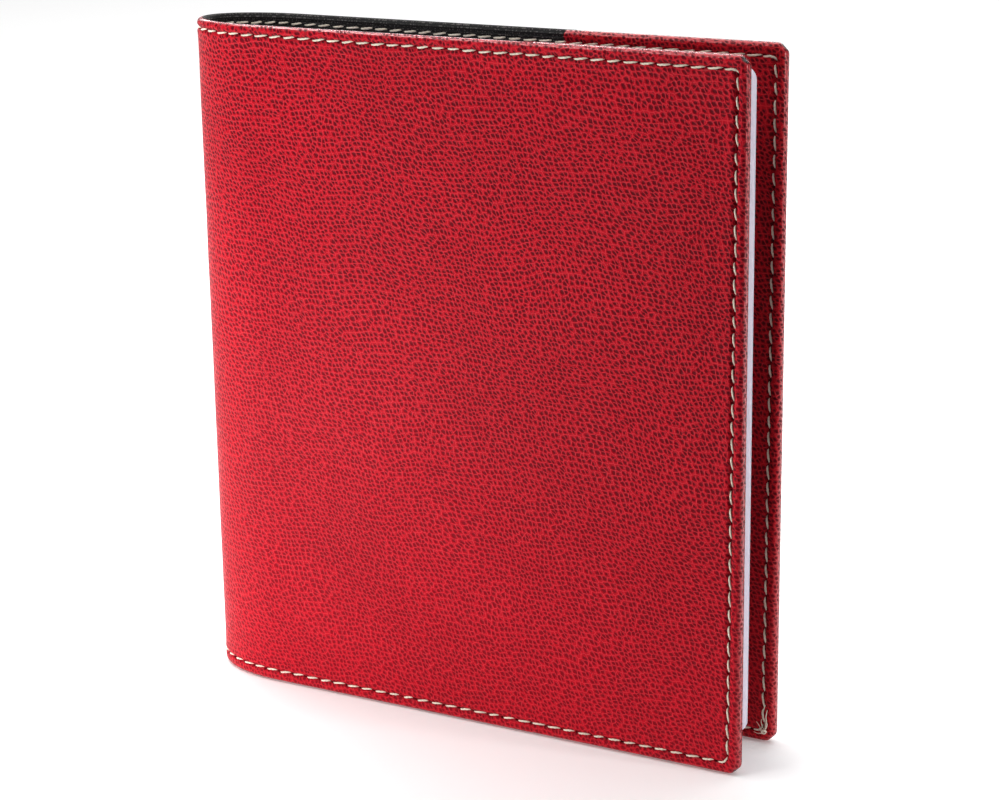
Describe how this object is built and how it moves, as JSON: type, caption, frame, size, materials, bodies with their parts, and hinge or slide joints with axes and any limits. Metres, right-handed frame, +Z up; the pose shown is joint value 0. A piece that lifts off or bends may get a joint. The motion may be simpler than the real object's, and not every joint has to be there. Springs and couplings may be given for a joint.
{
  "type": "leather notebook cover",
  "caption": "Upright, slightly open notebook cover in grained red leather with cream stitching, ribbed black lining, pocket flaps and a paper planner insert.",
  "frame": {"origin": "middle of the closed cover's footprint on the surface that it stands on: halfway along its width and thickness, at the lower edge", "axes": "+Z up along the spine's height; +X from the spine to the fore-edge; +Y from the front cover to the back cover, so the front cover's outer face looks along -Y"},
  "size_m": [0.153, 0.025, 0.17],
  "materials": {
    "red_leather": "pebble-grained, semi-matt, darker in the pits",
    "flap_leather": "pebble-grained, semi-matt, the same hide as the cover",
    "black_lining": "fine raised ribs, matt",
    "cream_thread": "twisted thread, soft sheen",
    "foam": "matt",
    "greyboard": "matt pressed board",
    "card": "smooth uncoated card",
    "binding_cloth": "glued cloth strip, matt",
    "paper": "uncoated paper, matt"
  },
  "bodies": {
    "spine": {"spine_leather": "red_leather", "spine_padding": "foam", "spine_stiffener": "greyboard", "spine_lining": "black_lining", "spine_outer_stitching": "cream_thread", "spine_inner_stitching": "cream_thread", "insert_spine_card": "card", "insert_binding": "binding_cloth"},
    "front_cover": {"front_leather": "red_leather", "front_padding": "foam", "front_board": "greyboard", "front_lining": "black_lining", "front_pocket_flap": "flap_leather", "front_outer_stitching": "cream_thread", "front_inner_stitching": "cream_thread", "insert_front_card": "card"},
    "back_cover": {"back_leather": "red_leather", "back_padding": "foam", "back_board": "greyboard", "back_lining": "black_lining", "back_pocket_flap": "flap_leather", "back_outer_stitching": "cream_thread", "back_inner_stitching": "cream_thread", "insert_back_card": "card"},
    "front_leaf_stack": {"front_leaves": "paper"},
    "back_leaf_stack": {"back_leaves": "paper"}
  },
  "joints": [
    {"name": "front_hinge", "type": "hinge", "parent": "spine", "child": "front_cover", "pos_m": [-0.07175, -0.00775, 0.085], "axis": [0, 0, -1], "range_deg": [0, 90]},
    {"name": "back_hinge", "type": "hinge", "parent": "spine", "child": "back_cover", "pos_m": [-0.07175, 0.00775, 0.085], "axis": [0, 0, 1], "range_deg": [0, 90]},
    {"name": "front_leaves_turn", "type": "hinge", "parent": "spine", "child": "front_leaf_stack", "pos_m": [-0.06451, -0.00435, 0.085], "axis": [0, 0, -1], "range_deg": [0, 90]},
    {"name": "back_leaves_turn", "type": "hinge", "parent": "spine", "child": "back_leaf_stack", "pos_m": [-0.06451, -0.00435, 0.085], "axis": [0, 0, 1], "range_deg": [0, 90]}
  ],
  "couplings": [
    {"joint": "front_leaves_turn", "follows": "front_hinge", "ratio": 1},
    {"joint": "back_leaves_turn", "follows": "back_hinge", "ratio": 1}
  ]
}
